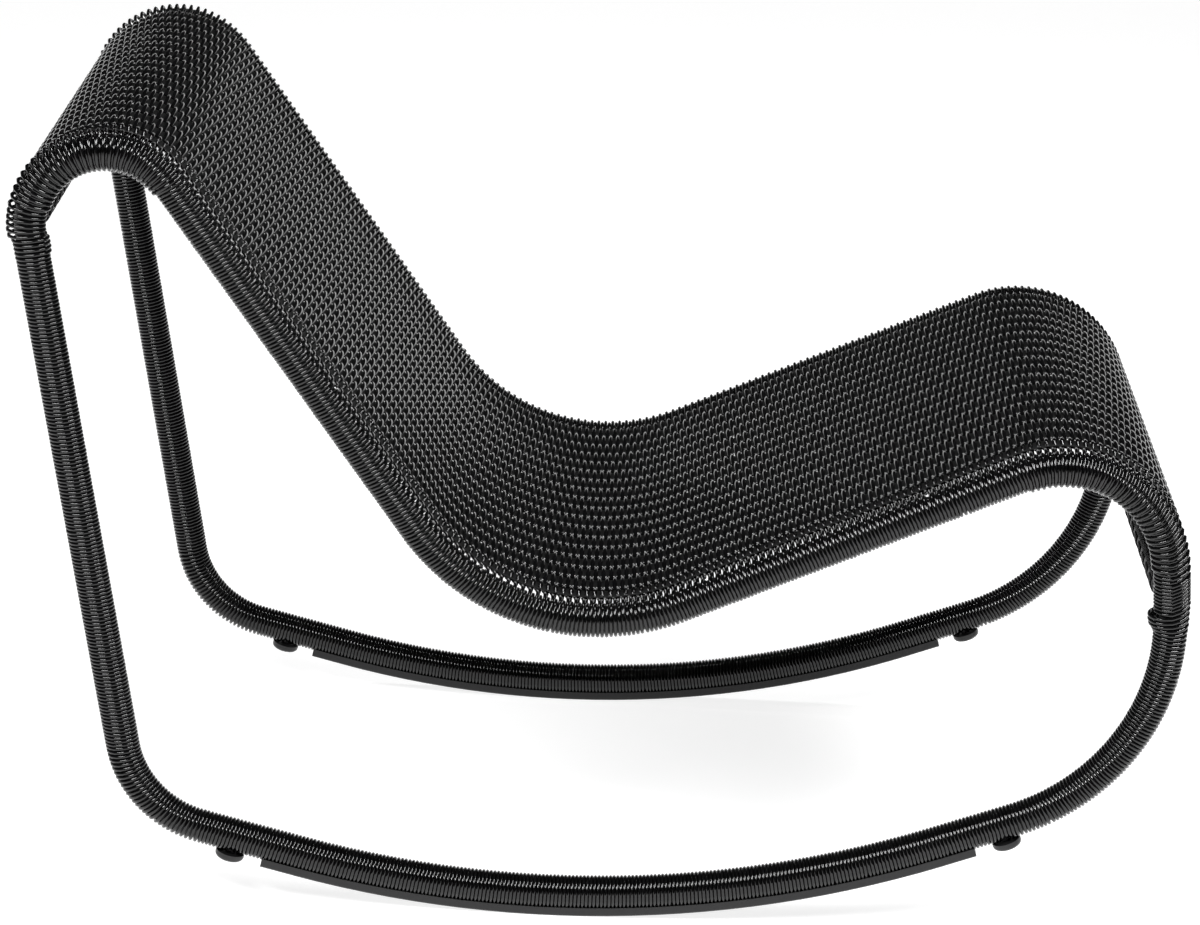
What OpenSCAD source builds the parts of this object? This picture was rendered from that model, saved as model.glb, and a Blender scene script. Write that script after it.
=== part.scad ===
/* [Frame tube] */
// Distance between the centre planes of the two side loops
loop_spacing = 551; // [480:1:640]
// Outer diameter of the frame tube
tube_d = 25; // [22:0.5:30]
// Wall of the frame tube
tube_wall = 1.5; // [1:0.1:2.5]
// Diameter of the cord that is wound and woven
cord_d = 3.3; // [2.6:0.1:4]

/* [Bend corners, before the chair leans back] */
// Head bend corner, front to back
crest_x = -548; // [-570:1:-530]
// Head bend corner, height over the rocker
crest_z = 918; // [890:1:950]
// Head bend radius
crest_r = 69; // [60:1:76]
// Seat hollow corner, front to back
seat_x = -82; // [-110:1:-60]
// Seat hollow corner, height over the rocker
seat_z = 222; // [205:1:240]
// Seat hollow radius
seat_r = 196; // [160:1:225]
// Knee bend corner, front to back
knee_x = 501; // [490:1:520]
// Knee bend corner, height over the rocker
knee_z = 461; // [450:1:480]
// Knee bend radius
knee_r = 98; // [85:1:106]
// Front bend corner, front to back
front_x = 515; // [500:1:530]
// Front bend corner, height over the rocker
front_z = 123; // [110:1:135]
// Front bend radius
front_r = 200; // [180:1:210]
// Rocker corner, front to back
keel_x = 12; // [0:1:24]
// Depth of the rocker corner below the rocker's lowest point
keel_drop = 46; // [38:1:52]
// Rocker radius
keel_r = 990; // [900:5:1050]
// Heel bend corner, front to back
heel_x = -435; // [-455:1:-420]
// Heel bend corner, height over the rocker
heel_z = 81; // [70:1:92]
// Heel bend radius
heel_r = 97; // [75:1:115]
// Angle by which the empty chair leans back at rest
rest_lean = 2.3; // [0:0.05:8]

/* [Crossbars and joints] */
// Outer diameter of the crossbars
bar_d = 25; // [20:0.5:28]
// Way from the start of the head bend up to the rear crossbar
rear_bar_up = 20; // [18:1:26]
// Way from the start of the front bend up to the front crossbar
front_bar_up = 27; // [25:1:30]
// Way from the head bend down the leg to the rear tube joint
rear_joint_down = 40; // [34:1:60]
// Length of the rear joint sleeves
rear_sleeve_len = 50; // [36:1:56]
// Wall of the joint sleeves
sleeve_wall = 1.5; // [1:0.1:2.5]
// Straight tube left free past each end of a front joint sleeve
front_sleeve_margin = 4; // [3:0.5:8]

/* [Woven panel and lashings] */
// Height of the weave's wave over and under its middle
weave_wave = 2.2; // [1.6:0.1:3]
// Clear way between neighbouring cross cords
cord_gap = 0.25; // [0.15:0.05:0.6]
// Number of turns in each lashing
lash_turns = 5; // [3:1:6]
// Step from turn to turn of a lashing
lash_pitch = 4.1; // [4.05:0.05:5]

/* [Runner strips] */
// Width of a runner strip
strip_w = 22; // [16:1:26]
// Thickness of a runner strip under the wound tube
strip_t = 4; // [3.5:0.25:8]
// Length of a runner strip each way from the rocker's middle
strip_half_len = 330; // [310:1:340]
// Bevel along the lower edges of a runner strip
strip_bevel = 1.5; // [0.5:0.25:2]
// Number of screws in each runner strip
strip_screws = 5; // [3:1:7]
// Way from the end of a runner strip to its last screw
strip_screw_inset = 30; // [20:1:60]

/* [Stop feet] */
// Clear way along the tube between a runner strip's end and a stop foot
foot_gap = 16.5; // [12:0.5:22]
// Diameter of a stop foot's cap
foot_d = 27; // [22:0.5:30]
// Thickness of a stop foot's cap
foot_t = 7; // [6:0.25:10]
// Rounding round the edge of a cap
foot_round = 4; // [2:0.25:5]
// Diameter of a stop foot's stem
stem_d = 9; // [8:0.5:12]

/* [Screws] */
// Diameter of every screw's shank
screw_d = 4; // [3:0.5:5]
// Diameter of a strip screw's head
flat_head_d = 8; // [7.5:0.5:10]
// Height of a strip screw's head
flat_head_h = 1.8; // [1.2:0.1:2]
// Diameter of a foot screw's head
round_head_d = 8.4; // [7.5:0.1:11]
// Height of a foot screw's head
round_head_h = 2.6; // [2:0.1:3.2]
// Depth of every screw inside the tube's wall
screw_grip = 6; // [4:0.5:8]
// How far the screw heads sit below the surface round them
head_depth = 0.5; // [0.3:0.1:0.6]

/* [Fits] */
// Clearance between neighbouring pieces
gap = 0.2; // [0.15:0.05:0.3]

/* [Hidden] */
tube_r = tube_d / 2;
bar_r = bar_d / 2;
cord_r = cord_d / 2;
wrap_r = tube_r + cord_d;
bar_wrap_r = bar_r + cord_d;
side_y = loop_spacing / 2;
arc_fn = 240;
ring_fn = 48;
screw_fn = 32;
tiny = 0.001;
// How far a cutting shape runs past what it cuts
overcut = 1;
// Bends are a hair fatter than straights, and each straight dips into its bends, so that all join into one solid
seam_grow = 0.05;
seam_dip = 0.2;

// The side loop as six corners, clockwise as seen from the chair's right side, each with its bend radius
corners = [
    [crest_x, crest_z, crest_r],
    [seat_x, seat_z, seat_r],
    [knee_x, knee_z, knee_r],
    [front_x, front_z, front_r],
    [keel_x, -keel_drop, keel_r],
    [heel_x, heel_z, heel_r]
];
corner_count = len(corners);

function corner(i) = corners[(i + corner_count) % corner_count];
function flat(v) = [v[0], v[1]];
function heading_of(v) = atan2(v[1], v[0]);
function way(a) = [cos(a), sin(a)];
function out_of(a) = [-sin(a), cos(a)];
function wrapped(a) = a - 360 * round(a / 360);
function degrees_of(length, radius) = length / radius * 180 / PI;

// Heading from corner i to the next one, and the turn made at corner i, left turns positive
function heading_from(i) = heading_of(flat(corner(i + 1)) - flat(corner(i)));
function turn_at(i) = wrapped(heading_from(i) - heading_from(i - 1));
function cut_at(i) = corner(i)[2] * tan(abs(turn_at(i)) / 2);
function bend_start(i) = flat(corner(i)) - way(heading_from(i - 1)) * cut_at(i);
function bend_end(i) = flat(corner(i)) + way(heading_from(i)) * cut_at(i);

// A stretch is [x, z, heading, length, radius]; radius is 0 on a straight and negative on a right turn
function bend(i) = [
    bend_start(i)[0],
    bend_start(i)[1],
    heading_from(i - 1),
    corner(i)[2] * abs(turn_at(i)) * PI / 180,
    corner(i)[2] * sign(turn_at(i))
];
function straight(i) = [
    bend_end(i)[0],
    bend_end(i)[1],
    heading_from(i),
    norm(bend_start(i + 1) - bend_end(i)),
    0
];
route = [for (i = [0:corner_count - 1], part = [0, 1]) part == 0 ? bend(i) : straight(i)];

function length_to(n) = n == 0 ? 0 : length_to(n - 1) + route[n - 1][3];
starts = [for (n = [0:len(route)]) length_to(n)];
loop_length = starts[len(route)];

// Heading and point at the distance t along one stretch
function stretch_heading(e, t) = e[4] == 0 ? e[2] : e[2] + degrees_of(t, e[4]);
function stretch_point(e, t) =
    e[4] == 0
    ? flat(e) + way(e[2]) * t
    : flat(e) + out_of(e[2]) * e[4] - out_of(stretch_heading(e, t)) * e[4];

// The part of a stretch between two distances along it
function trimmed(e, a, b) = [
    stretch_point(e, a)[0],
    stretch_point(e, a)[1],
    stretch_heading(e, a),
    b - a,
    e[4]
];

// The stretches of the loop between two distances from the start of the head bend
function span(a, b) = [
    for (n = [0:len(route) - 1])
        let (from = max(a - starts[n], 0), to = min(b - starts[n], route[n][3]))
            if (to - from > tiny) trimmed(route[n], from, to)
];
function round_span(a, b) = a < 0 ? concat(span(loop_length + a, loop_length), span(0, b)) : span(a, b);

function loop_at(s) = s < 0 ? s + loop_length : s;
function stretch_index(s) = max([for (n = [0:len(route) - 1]) if (starts[n] <= loop_at(s)) n]);
function point_at(s) = stretch_point(route[stretch_index(s)], loop_at(s) - starts[stretch_index(s)]);
function heading_at(s) = stretch_heading(route[stretch_index(s)], loop_at(s) - starts[stretch_index(s)]);

// Places along the loop
knee_end_s = starts[5];
front_bend_s = starts[6];
keel_mid_s = (starts[8] + starts[9]) / 2;
rear_bar_s = rear_bar_up;
front_bar_s = front_bend_s - front_bar_up;
rear_joint_s = -rear_joint_down;
front_joint_s = (knee_end_s + front_bend_s) / 2;
front_sleeve_len = front_bend_s - knee_end_s - 2 * front_sleeve_margin;
lash_len = lash_turns * lash_pitch;
lash_clear = bar_wrap_r + gap + cord_r + gap;
rear_lash_s = rear_bar_s - lash_clear - lash_len;
front_lash_s = front_bar_s + lash_clear;
rear_split_s = rear_lash_s + lash_len / 2;
front_split_s = front_lash_s + lash_len / 2;

// Hole for a crossbar in the wound cord, stopping just short of the loop's middle plane
bar_hole_r = (bar_r + bar_wrap_r) / 2;
bar_hole_end = 1;

// Panel heights over the tube's centre line: the cords leave the tube's crown level with its first turn
panel_mid = tube_r + cord_r;
panel_low = panel_mid - weave_wave - cord_r;
panel_top = panel_mid + weave_wave + cord_r;

// Every second cross cord stands raised over the panel's middle, and the others under it
rib_pitch = 2 * (cord_d + cord_gap);
rib_flat = cord_r / rib_pitch;
rib_clear = bar_wrap_r + gap + rib_pitch / 2;
groove_rise = 0.2;
groove_half = (1 - rib_flat) / 2 * (weave_wave + cord_r + groove_rise) / (weave_wave + cord_r);

// Strip, foot and screw heights, outward from the tube's centre line
seat_h = wrap_r + gap;
strip_h = seat_h + strip_t;
foot_h = seat_h + foot_t;
screw_tip_h = tube_r - tube_wall - screw_grip;

// The chair stands on its runners with the rocker's centre over the floor, leaning back by rest_lean
rocker_centre = bend_start(4) + out_of(heading_from(3)) * corner(4)[2] * sign(turn_at(4));
floor_r = keel_r + strip_h;
function leaned(p) = [
    cos(rest_lean) * p[0] - sin(rest_lean) * p[1],
    sin(rest_lean) * p[0] + cos(rest_lean) * p[1]
];
function leaned_x(s, h) = leaned(point_at(s) + out_of(heading_at(s)) * h - rocker_centre)[0];
outline_step = 2;
lash_h = wrap_r + gap + cord_d;
outline_x = concat(
    [for (s = [rear_bar_s:outline_step:front_bar_s]) leaned_x(s, panel_top)],
    [for (s = [0:outline_step:loop_length - outline_step]) leaned_x(s, wrap_r)],
    [for (s = [front_lash_s:outline_step:front_lash_s + lash_len]) leaned_x(s, lash_h)],
    [for (s = [rear_lash_s:outline_step:rear_lash_s + lash_len]) leaned_x(s, lash_h)]
);
middle_x = (max(outline_x) + min(outline_x)) / 2;

left = 1;
right = -1;
rear = 1;
front = -1;
frame_colour = [0.06, 0.06, 0.06];
cord_colour = [0.12, 0.12, 0.12];
rubber_colour = [0.03, 0.03, 0.03];
steel_colour = [0.6, 0.6, 0.62];

// Sets the chair on the floor
module standing() {
    translate([-middle_x, 0, floor_r])
        rotate([0, -rest_lean, 0])
            translate([-rocker_centre[0], 0, -rocker_centre[1]])
                children();
}

// Moves a piece to one side loop
module at_side(side) {
    translate([0, side * side_y, 0]) children();
}

// Sets a piece at a place on the loop: x forward along the tube, z outward
module at_route(s) {
    translate([point_at(s)[0], 0, point_at(s)[1]])
        rotate([0, -heading_at(s), 0])
            children();
}

// Carries a flat section (x outward, y sideways) along one stretch
module along_stretch(e) {
    if (e[4] == 0)
        translate([e[0], 0, e[1]])
            rotate([0, 90 - e[2], 0])
                linear_extrude(height = e[3])
                    rotate(180)
                        children();
    else
        let (centre = flat(e) + out_of(e[2]) * e[4], turn = degrees_of(e[3], abs(e[4])))
            translate([centre[0], 0, centre[1]])
                rotate([90, 0, 0])
                    rotate([0, 0, e[4] > 0 ? e[2] - 90 : e[2] + 90 - turn])
                        rotate_extrude(angle = turn, $fn = arc_fn)
                            translate([abs(e[4]), 0])
                                rotate(e[4] > 0 ? 180 : 0)
                                    children();
}

// Carries a flat section along stretches that follow one another; sections grow by $grow
module along(stretches) {
    last = len(stretches) - 1;
    for (i = [0:1:last])
        let (
            e = stretches[i],
            is_bend = e[4] != 0,
            dip = is_bend ? 0 : seam_dip,
            from = i > 0 ? -dip : 0,
            to = e[3] + (i < last ? dip : 0),
            $grow = is_bend ? seam_grow : 0
        )
            along_stretch(trimmed(e, from, to)) children();
}

// A tube's section; its start point is turned away from where holes are drilled
module ring(outer, inner) {
    rotate(45)
        difference() {
            circle(r = outer + $grow, $fn = ring_fn);
            circle(r = inner - $grow, $fn = ring_fn);
        }
}

// The stretch that a crossbar meets, as a solid rod for coping the bar's ends
module cope_rod(s, r) {
    along_stretch(route[stretch_index(s)]) rotate(45) circle(r = r, $fn = ring_fn);
}

// A round hole or pin outward through the tube at one place
module peg(s, r, from_h, to_h) {
    at_route(s)
        translate([0, 0, from_h])
            cylinder(h = to_h - from_h, r = r, $fn = screw_fn);
}

// A round bar from loop to loop
module cross_rod(s, r, length) {
    at_route(s)
        rotate([90, 0, 0])
            cylinder(h = length, r = r, center = true, $fn = ring_fn);
}

foot_reach = strip_half_len + foot_gap + foot_d / 2;
function foot_s(end) = keel_mid_s + end * foot_reach;
strip_screw_step = 2 * (strip_half_len - strip_screw_inset) / (strip_screws - 1);
strip_screw_places = [
    for (i = [0:strip_screws - 1]) keel_mid_s - strip_half_len + strip_screw_inset + i * strip_screw_step
];

// Frame tubes

module upper_tube(side) {
    color(frame_colour)
        standing()
            at_side(side)
                along(round_span(rear_joint_s, front_joint_s))
                    ring(tube_r, tube_r - tube_wall);
}

module lower_tube(side) {
    color(frame_colour)
        standing()
            at_side(side)
                difference() {
                    along(span(front_joint_s, loop_length + rear_joint_s)) ring(tube_r, tube_r - tube_wall);
                    for (s = strip_screw_places) peg(s, screw_d / 2 + gap / 2, 0, wrap_r);
                    for (end = [rear, front]) peg(foot_s(end), screw_d / 2 + gap / 2, 0, wrap_r);
                }
}

module joint_sleeve(side, s, length) {
    color(steel_colour)
        standing()
            at_side(side)
                along(span(loop_at(s) - length / 2, loop_at(s) + length / 2))
                    ring(tube_r - tube_wall - gap, tube_r - tube_wall - gap - sleeve_wall);
}

// A crossbar, coped at both ends to sit on the side tubes
module crossbar(s) {
    color(frame_colour)
        standing()
            difference() {
                cross_rod(s, bar_r, loop_spacing);
                cross_rod(s, bar_r - tube_wall, loop_spacing + overcut);
                for (side = [left, right]) at_side(side) cope_rod(s, tube_r + gap);
            }
}

// Woven panel and wound cord

module woven_panel() {
    color(cord_colour)
        standing()
            difference() {
                along(weave_span) panel_section();
                for (s = [rear_bar_s, front_bar_s]) cross_rod(s, bar_wrap_r + gap, loop_spacing + overcut);
                weave_grooves(0, panel_top + groove_rise, overcut);
                weave_grooves(0.5, panel_low - groove_rise, -overcut);
            }
}

module panel_section() {
    difference() {
        translate([panel_low - $grow, -side_y]) square([panel_top - panel_low + 2 * $grow, loop_spacing]);
        for (side = [left, right])
            translate([0, side * side_y]) rotate(45) circle(r = wrap_r + gap - $grow, $fn = ring_fn);
    }
}

// Places on the weave, at equal steps along its own surface
weave_span = span(rear_bar_s, front_bar_s);
function weave_stretch(e) = e[4] == 0 ? 1 : 1 - (wrap_r + gap) / e[4];
function weave_to(n) = n == 0 ? 0 : weave_to(n - 1) + weave_span[n - 1][3] * weave_stretch(weave_span[n - 1]);
weave_starts = [for (n = [0:len(weave_span) - 1]) weave_to(n)];
weave_length = weave_to(len(weave_span));
rib_count = floor((weave_length - 2 * rib_clear) / rib_pitch);
first_rib = (weave_length - rib_count * rib_pitch) / 2;
function weave_point(steps, h) =
    let (
        u = first_rib + steps * rib_pitch,
        n = max([for (i = [0:len(weave_starts) - 1]) if (weave_starts[i] <= u) i]),
        e = weave_span[n],
        t = (u - weave_starts[n]) / weave_stretch(e)
    )
    stretch_point(e, t) + out_of(stretch_heading(e, t)) * h;

// The grooves between the raised cords, each down to the panel's middle, joined above the panel into one cut
module weave_grooves(phase, edge_h, cover) {
    zigzag = [
        for (i = [0:rib_count - 1], side = [-1, 0, 1])
            weave_point(i + 0.5 + phase + side * groove_half, side == 0 ? panel_mid : edge_h)
    ];
    above = [for (i = [rib_count:-1:0]) weave_point(i + phase, edge_h + cover)];
    rotate([90, 0, 0])
        linear_extrude(height = loop_spacing - 2 * (wrap_r + gap), center = true)
            polygon(concat(zigzag, above));
}

module upper_wrap(side) {
    color(cord_colour)
        standing()
            difference() {
                at_side(side)
                    along(round_span(rear_split_s + gap, front_split_s - gap))
                        ring(wrap_r, tube_r + gap);
                for (s = [rear_bar_s, front_bar_s]) cross_rod(s, bar_hole_r, loop_spacing - 2 * bar_hole_end);
            }
}

module lower_wrap(side) {
    color(cord_colour)
        standing()
            at_side(side)
                difference() {
                    along(span(front_split_s, loop_length + rear_split_s)) ring(wrap_r, tube_r + gap);
                    for (s = strip_screw_places) peg(s, screw_d / 2 + gap, 0, wrap_r + overcut);
                    for (end = [rear, front]) peg(foot_s(end), stem_d / 2 + gap, 0, wrap_r + overcut);
                }
}

module crossbar_wrap(s) {
    color(cord_colour)
        standing()
            difference() {
                cross_rod(s, bar_wrap_r, loop_spacing);
                cross_rod(s, bar_r + gap, loop_spacing + overcut);
                for (side = [left, right]) at_side(side) cope_rod(s, wrap_r + gap);
            }
}

// Lashings: one unbroken cord in turns round the wound tube

rings_a_turn = 24;
cord_sides = 6;
coil_r = wrap_r + gap + cord_r;
function to_space(p, y) = [p[0], y, p[1]];
function coil_point(start_s, i) =
    let (
        turn = i / rings_a_turn,
        s = start_s + turn * lash_pitch,
        centre = point_at(s),
        outward = out_of(heading_at(s)),
        reach = coil_r * cos(360 * turn)
    )
    to_space(centre + outward * reach, coil_r * sin(360 * turn));
function unit(v) = v / norm(v);
function coil_line(start_s) =
    let (
        last = lash_turns * rings_a_turn,
        wound = [for (i = [0:last]) coil_point(start_s, i)],
        lead_in = wound[0] - unit(wound[1] - wound[0]) * cord_d,
        lead_out = wound[last] + unit(wound[last] - wound[last - 1]) * cord_d
    )
    concat([lead_in], wound, [lead_out]);
function tangent(line, i) = unit(line[min(i + 1, len(line) - 1)] - line[max(i - 1, 0)]);
function coil_axis(start_s, i) =
    let (s = start_s + min(max(i - 1, 0), lash_turns * rings_a_turn) / rings_a_turn * lash_pitch)
    to_space(point_at(s), 0);
function coil_rings(start_s) =
    let (line = coil_line(start_s))
    [
        for (i = [0:len(line) - 1])
            let (
                t = tangent(line, i),
                b = unit(cross(t, line[i] - coil_axis(start_s, i))),
                n = cross(b, t)
            )
            for (k = [0:cord_sides - 1])
                line[i] + cord_r * (cos(360 * k / cord_sides) * n + sin(360 * k / cord_sides) * b)
    ];
ring_count = lash_turns * rings_a_turn + 3;
coil_faces = concat(
    [for (k = [1:cord_sides - 2]) [0, k, k + 1]],
    [
        for (i = [0:ring_count - 2], k = [0:cord_sides - 1], half = [0, 1])
            let (
                a = i * cord_sides + k,
                b = i * cord_sides + (k + 1) % cord_sides,
                c = a + cord_sides,
                d = b + cord_sides
            )
            half == 0 ? [a, d, b] : [a, c, d]
    ],
    [
        for (k = [1:cord_sides - 2])
            let (o = (ring_count - 1) * cord_sides)
            [o, o + k + 1, o + k]
    ]
);
function least_gap(line) =
    min([
        for (i = [0:len(line) - 1], j = [0:len(line) - 1])
            if (j - i > rings_a_turn / 2) norm(line[i] - line[j])
    ]) - cord_d;

module lashing(side, start_s) {
    color(cord_colour)
        standing()
            at_side(side)
                polyhedron(points = coil_rings(start_s), faces = coil_faces, convexity = 10);
}

echo("least gap in rear lashing", least_gap(coil_line(rear_lash_s)));
echo("least gap in front lashing", least_gap(coil_line(front_lash_s)));
echo("stretch starts", starts);
echo("loop length", loop_length);
echo("front straight", front_bend_s - knee_end_s);

// Runner strips, hollowed to fit under the wound tube

module strip_section() {
    half_w = strip_w / 2 + $grow;
    low = strip_h + $grow;
    difference() {
        polygon([
            [0, -half_w],
            [low - strip_bevel, -half_w],
            [low, -half_w + strip_bevel],
            [low, half_w - strip_bevel],
            [low - strip_bevel, half_w],
            [0, half_w]
        ]);
        rotate(45) circle(r = seat_h - $grow, $fn = ring_fn);
    }
}

module runner_strip(side) {
    color(rubber_colour)
        standing()
            at_side(side)
                difference() {
                    along(span(keel_mid_s - strip_half_len, keel_mid_s + strip_half_len)) strip_section();
                    for (s = strip_screw_places) strip_screw_shape(s, gap, strip_h + overcut);
                }
}

// A countersunk screw's outline, grown all round by a clearance
module strip_screw_shape(s, grow, top_h) {
    head_top = strip_h - head_depth;
    head_low = head_top - flat_head_h;
    at_route(s) {
        translate([0, 0, screw_tip_h])
            cylinder(h = head_low - screw_tip_h, r = screw_d / 2 + grow / 2, $fn = screw_fn);
        translate([0, 0, head_low])
            cylinder(
                h = flat_head_h,
                r1 = screw_d / 2 + grow / 2,
                r2 = flat_head_d / 2 + grow,
                $fn = screw_fn
            );
        if (top_h > head_top)
            translate([0, 0, head_top])
                cylinder(h = top_h - head_top, r = flat_head_d / 2 + grow, $fn = screw_fn);
    }
}

module strip_screw_set(side) {
    color(steel_colour)
        standing()
            at_side(side)
                for (s = strip_screw_places) strip_screw_shape(s, 0, 0);
}

// Stop feet: a round cap on a stem that stands on the tube

module stop_foot(side, end) {
    recess_h = foot_h - head_depth - round_head_h;
    color(rubber_colour)
        standing()
            at_side(side)
                at_route(foot_s(end))
                    difference() {
                        union() {
                            translate([0, 0, seat_h]) rotate_extrude($fn = ring_fn) cap_section();
                            translate([0, 0, tube_r + gap])
                                cylinder(h = seat_h - tube_r, r = stem_d / 2, $fn = screw_fn);
                        }
                        translate([0, 0, tube_r])
                            cylinder(h = foot_t + seat_h, r = screw_d / 2 + gap / 2, $fn = screw_fn);
                        translate([0, 0, recess_h])
                            cylinder(h = foot_t, r = round_head_d / 2 + gap, $fn = screw_fn);
                        // The stem's end fits the round tube
                        rotate([0, 90, 0])
                            cylinder(h = 2 * stem_d, r = tube_r + gap, center = true, $fn = ring_fn);
                    }
}

module cap_section() {
    square([foot_d / 2 - foot_round, foot_t]);
    square([foot_d / 2, foot_t - foot_round]);
    intersection() {
        translate([foot_d / 2 - foot_round, foot_t - foot_round]) circle(r = foot_round, $fn = ring_fn);
        square([foot_d, foot_t]);
    }
}

module stop_foot_screw_set() {
    head_low = foot_h - head_depth - round_head_h;
    color(steel_colour)
        standing()
            for (side = [left, right], end = [rear, front])
                at_side(side)
                    at_route(foot_s(end)) {
                        translate([0, 0, screw_tip_h])
                            cylinder(h = head_low - screw_tip_h, r = screw_d / 2, $fn = screw_fn);
                        translate([0, 0, head_low])
                            cylinder(h = round_head_h, r = round_head_d / 2, $fn = screw_fn);
                    }
}

upper_tube(left);  // left_upper_tube
upper_tube(right);  // right_upper_tube
lower_tube(left);  // left_lower_tube
lower_tube(right);  // right_lower_tube
joint_sleeve(left, rear_joint_s, rear_sleeve_len);  // left_rear_joint_sleeve
joint_sleeve(right, rear_joint_s, rear_sleeve_len);  // right_rear_joint_sleeve
joint_sleeve(left, front_joint_s, front_sleeve_len);  // left_front_joint_sleeve
joint_sleeve(right, front_joint_s, front_sleeve_len);  // right_front_joint_sleeve
crossbar(rear_bar_s);  // rear_crossbar
crossbar(front_bar_s);  // front_crossbar
woven_panel();
upper_wrap(left);  // left_upper_wrap
upper_wrap(right);  // right_upper_wrap
lower_wrap(left);  // left_lower_wrap
lower_wrap(right);  // right_lower_wrap
crossbar_wrap(rear_bar_s);  // rear_crossbar_wrap
crossbar_wrap(front_bar_s);  // front_crossbar_wrap
lashing(left, rear_lash_s);  // left_rear_lashing
lashing(right, rear_lash_s);  // right_rear_lashing
lashing(left, front_lash_s);  // left_front_lashing
lashing(right, front_lash_s);  // right_front_lashing
runner_strip(left);  // left_runner_strip
runner_strip(right);  // right_runner_strip
stop_foot(left, rear);  // left_rear_stop_foot
stop_foot(right, rear);  // right_rear_stop_foot
stop_foot(left, front);  // left_front_stop_foot
stop_foot(right, front);  // right_front_stop_foot
stop_foot_screw_set();  // stop_foot_screws
strip_screw_set(left);  // left_strip_screws
strip_screw_set(right);  // right_strip_screws
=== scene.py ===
"""The looks of the wicker rocking chair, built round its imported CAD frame.

It is run as a script. It is laid out as an add-on, so that the 3D view's sidebar can make
each group of pieces from the sizes and colours listed there.
"""

import math

import bpy
import numpy as np
from mathutils import Matrix, Vector


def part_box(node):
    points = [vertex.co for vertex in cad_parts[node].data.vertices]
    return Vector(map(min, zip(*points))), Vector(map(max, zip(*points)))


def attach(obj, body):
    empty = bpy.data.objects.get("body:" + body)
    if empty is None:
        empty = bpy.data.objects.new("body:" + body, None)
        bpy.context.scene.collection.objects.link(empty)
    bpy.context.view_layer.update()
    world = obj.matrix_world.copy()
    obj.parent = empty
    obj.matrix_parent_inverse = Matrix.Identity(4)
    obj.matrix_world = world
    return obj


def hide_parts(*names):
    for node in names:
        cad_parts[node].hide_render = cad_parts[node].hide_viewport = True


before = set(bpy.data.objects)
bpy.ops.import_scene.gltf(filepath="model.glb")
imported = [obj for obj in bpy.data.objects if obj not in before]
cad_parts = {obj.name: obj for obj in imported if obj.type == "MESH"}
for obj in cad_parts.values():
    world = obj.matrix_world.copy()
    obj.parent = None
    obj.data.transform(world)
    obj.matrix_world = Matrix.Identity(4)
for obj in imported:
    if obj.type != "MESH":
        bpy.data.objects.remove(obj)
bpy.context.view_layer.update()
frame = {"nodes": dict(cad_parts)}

bl_info = {
    "name": "Wicker rocking chair",
    "version": (1, 0, 0),
    "blender": (4, 5, 0),
    "location": "3D View > Sidebar > Rocking chair",
    "description": "Woven seat, cord windings, finishes and studio of the wicker rocking chair",
    "category": "Object",
}

MM = 0.001

# The side loop's corners before the chair leans back: place towards the front, height and bend radius, in mm
CORNERS = (
    (-548, 918, 69),
    (-82, 222, 196),
    (501, 461, 98),
    (515, 123, 200),
    (12, -46, 990),
    (-435, 81, 97),
)
# Which of them are the bend below the knee and the rocker's own bend
FRONT_BEND = 3
KEEL = 4
# How far the chair leans back at rest
REST_LEAN = math.radians(2.3)
# The side tubes, the cord, the loops' spacing, the gap between pieces and the runner strips' thickness, in mm
TUBE_R = 12.5
CORD_D = 3.3
CORD_R = CORD_D / 2
COIL_R = TUBE_R + CORD_R
WRAP_R = TUBE_R + CORD_D
LOOP_SPACING = 551.0
SIDE_Y = LOOP_SPACING / 2
GAP = 0.2
STRIP_T = 4.0
# Height of the rocker's centre over the floor
FLOOR_R = CORNERS[KEEL][2] + WRAP_R + GAP + STRIP_T
# How far the rear crossbar is past the start of the head bend, and the front one before the bend below the
# knee, in mm along the loop
REAR_BAR = 20.0
FRONT_BAR_BEFORE = 27.0
# Height over the tube's centre line at which the seat's cords are evenly spaced, and the length of the
# seat's surface that they leave bare at its ends
WEAVE_H = 16.0
BARE_END = 12.0
# A seat cord meets a side tube low on its inside, winds down, out and over it more than once, and leaves
# from its crown. These angles are from the crown towards the outside.
MEETS = math.radians(232)
HALFWAY = math.radians(-64)
SECOND_ROUND = math.radians(-100)
LEAVES = math.radians(-290)
LEAVES_SOONER = math.radians(35)
# How far past its place a cord is when it leaves a crown, in steps from cord to cord
AHEAD = 0.322
# Where the seat's first turn on a tube crosses the crown, and its last turn the underside, in the same steps
FIRST_CROWN = 0.32
LAST_UNDERSIDE = 0.82
# How a cord strays: the length in mm of a radian of its sway, and its lift under a tube for each mm of stray
SWAY_RADIAN = 61.0
STRAY_LIFT = 1.2
# The cords' extra slack goes over the last part of the head bend, and comes this far before the front
# crossbar, over this length, in mm
HEAD_FADE = 60.0
FRONT_SLACK = 60.0
FRONT_FADE = 35.0
# How flat a cord stays between two stakes, as a share of how flat it is over and under them
FLAT_BETWEEN = 0.5
# A stake's hooks round the crossbars and the step of their rings, in degrees, and how far from the bars it
# comes off them, how far from the bars the even rings start, and their step, in mm
HOOK_TURN = 200
HOOK_STEP = 12
STAKE_ENDS = (3, 8)
STAKE_CLEAR = 14
STAKE_STEP = 4
# A lashing's number of turns and their step in mm
LASH_TURNS = 5
LASH_PITCH = 4.1
# How far the cord ends tucked under a front and a rear lashing lift it, on the inside of the loop, in mm
LASH_BULGE = 5.0
REAR_BULGE = 1.8
# How far the outsides of the turns lean towards the seat by its front end, and over what lengths that comes
# before the front crossbar and goes after the lashing, in mm
SLANT = 9.0
SLANT_RAMP = 200.0
SLANT_FADE = 14.0
# How unevenly turns lie on the tubes, in mm
UNEVEN = 0.07
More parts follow.
